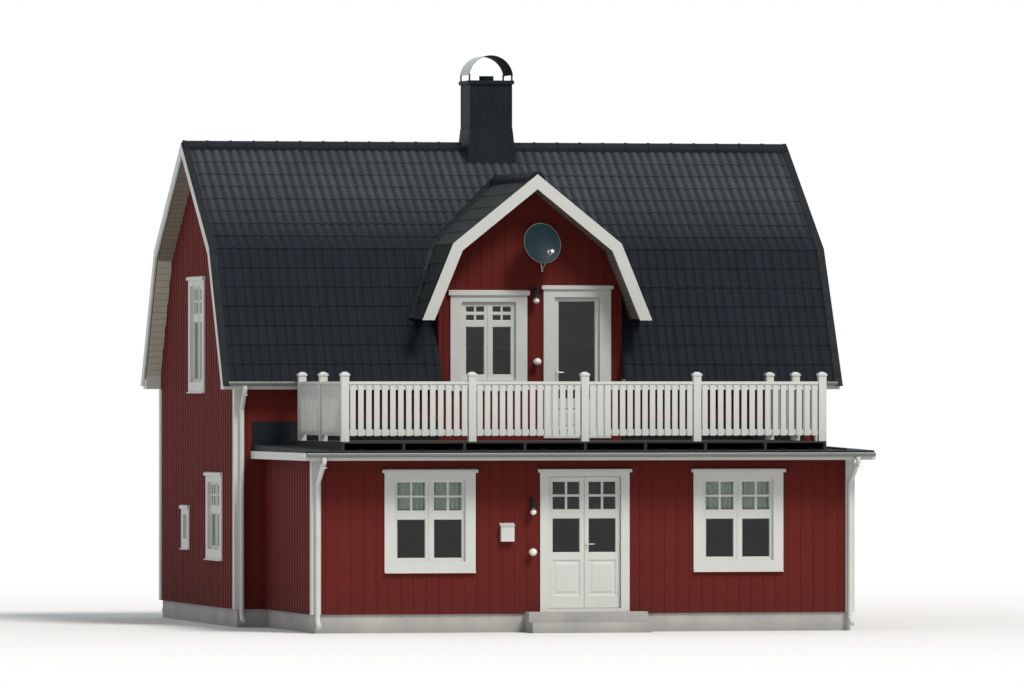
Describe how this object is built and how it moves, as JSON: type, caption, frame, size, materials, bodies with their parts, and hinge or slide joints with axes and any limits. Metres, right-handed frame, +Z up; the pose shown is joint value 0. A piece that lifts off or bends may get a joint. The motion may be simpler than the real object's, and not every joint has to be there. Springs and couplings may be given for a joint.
{
  "type": "lakeside timber house",
  "caption": "Red timber lakeside house with a black gambrel roof, a cross gable, and a veranda carrying a railed balcony.",
  "frame": {"origin": "centre of the main block's footprint, at ground level", "axes": "+Z up; -Y towards the lake, the veranda side; +X along the ridge, to the right seen from the lake"},
  "size_m": [10.14, 11.2804, 9.22],
  "materials": {
    "concrete": "cast concrete, plain",
    "floor_boards": "planed softwood boards",
    "red_boarding": "vertical boards in matt red paint",
    "roof_tiles": "black profiled tiles, satin",
    "black_sheet": "folded sheet, satin black",
    "white_metal": "painted sheet, satin white",
    "white_timber": "planed boards in white paint",
    "glass": "clear, dark inside",
    "deck_boards": "weathered deck boards",
    "dish_paint": "powder-coated dark grey",
    "bare_metal": "galvanised",
    "lamp_glass": "opal"
  },
  "bodies": {
    "house": {"foundation_main": "concrete", "foundation_veranda": "concrete", "ground_floor": "floor_boards", "veranda_floor": "floor_boards", "door_steps": "concrete", "upper_floor": "floor_boards", "left_gable_wall": "red_boarding", "right_gable_wall": "red_boarding", "front_wall_left": "red_boarding", "front_wall_right": "red_boarding", "front_wall_over_doorway": "red_boarding", "back_wall": "red_boarding", "cross_gable_wall": "red_boarding", "cross_gable_cheeks": "red_boarding", "veranda_left_wall": "red_boarding", "veranda_right_wall": "red_boarding", "veranda_front_left": "red_boarding", "veranda_front_right": "red_boarding", "veranda_over_door": "red_boarding", "roof_front_upper": "roof_tiles", "roof_front_lower_left": "roof_tiles", "roof_front_lower_right": "roof_tiles", "roof_back_upper": "roof_tiles", "roof_back_lower": "roof_tiles", "cross_roof_left": "roof_tiles", "cross_roof_right": "roof_tiles", "bargeboards": "white_timber", "eave_boxes": "white_timber", "ridge_caps": "black_sheet", "gutters": "white_metal", "downpipes": "white_metal", "corner_boards": "white_timber", "veranda_roof": "black_sheet", "veranda_fascia": "white_timber", "wall_flashing": "black_sheet", "balcony_deck": "deck_boards", "railing_posts": "white_timber", "railing_front": "white_timber", "railing_sides": "white_timber", "front_windows": "white_timber", "gable_windows": "white_timber", "back_windows": "white_timber", "balcony_door": "white_timber", "window_glass_front": "glass", "window_glass_gables": "glass", "window_glass_back": "glass", "entrance_frame": "white_timber", "chimney": "black_sheet", "chimney_flashing": "black_sheet", "chimney_hood": "black_sheet", "satellite_dish": "dish_paint", "dish_bracket": "bare_metal", "wall_lamp": "lamp_glass", "wall_lantern": "black_sheet", "letterbox": "white_metal"},
    "door_left": {"entrance_door_left": "white_timber", "entrance_glass_left": "glass"},
    "door_right": {"entrance_door_right": "white_timber", "entrance_glass_right": "glass"}
  },
  "joints": [
    {"name": "left_leaf_hinge", "type": "hinge", "parent": "house", "child": "door_left", "pos_m": [-0.568, -7.012, 0], "axis": [0, 0, -1], "range_deg": [0, 100]},
    {"name": "right_leaf_hinge", "type": "hinge", "parent": "house", "child": "door_right", "pos_m": [0.568, -7.012, 0], "axis": [0, 0, 1], "range_deg": [0, 100]}
  ]
}
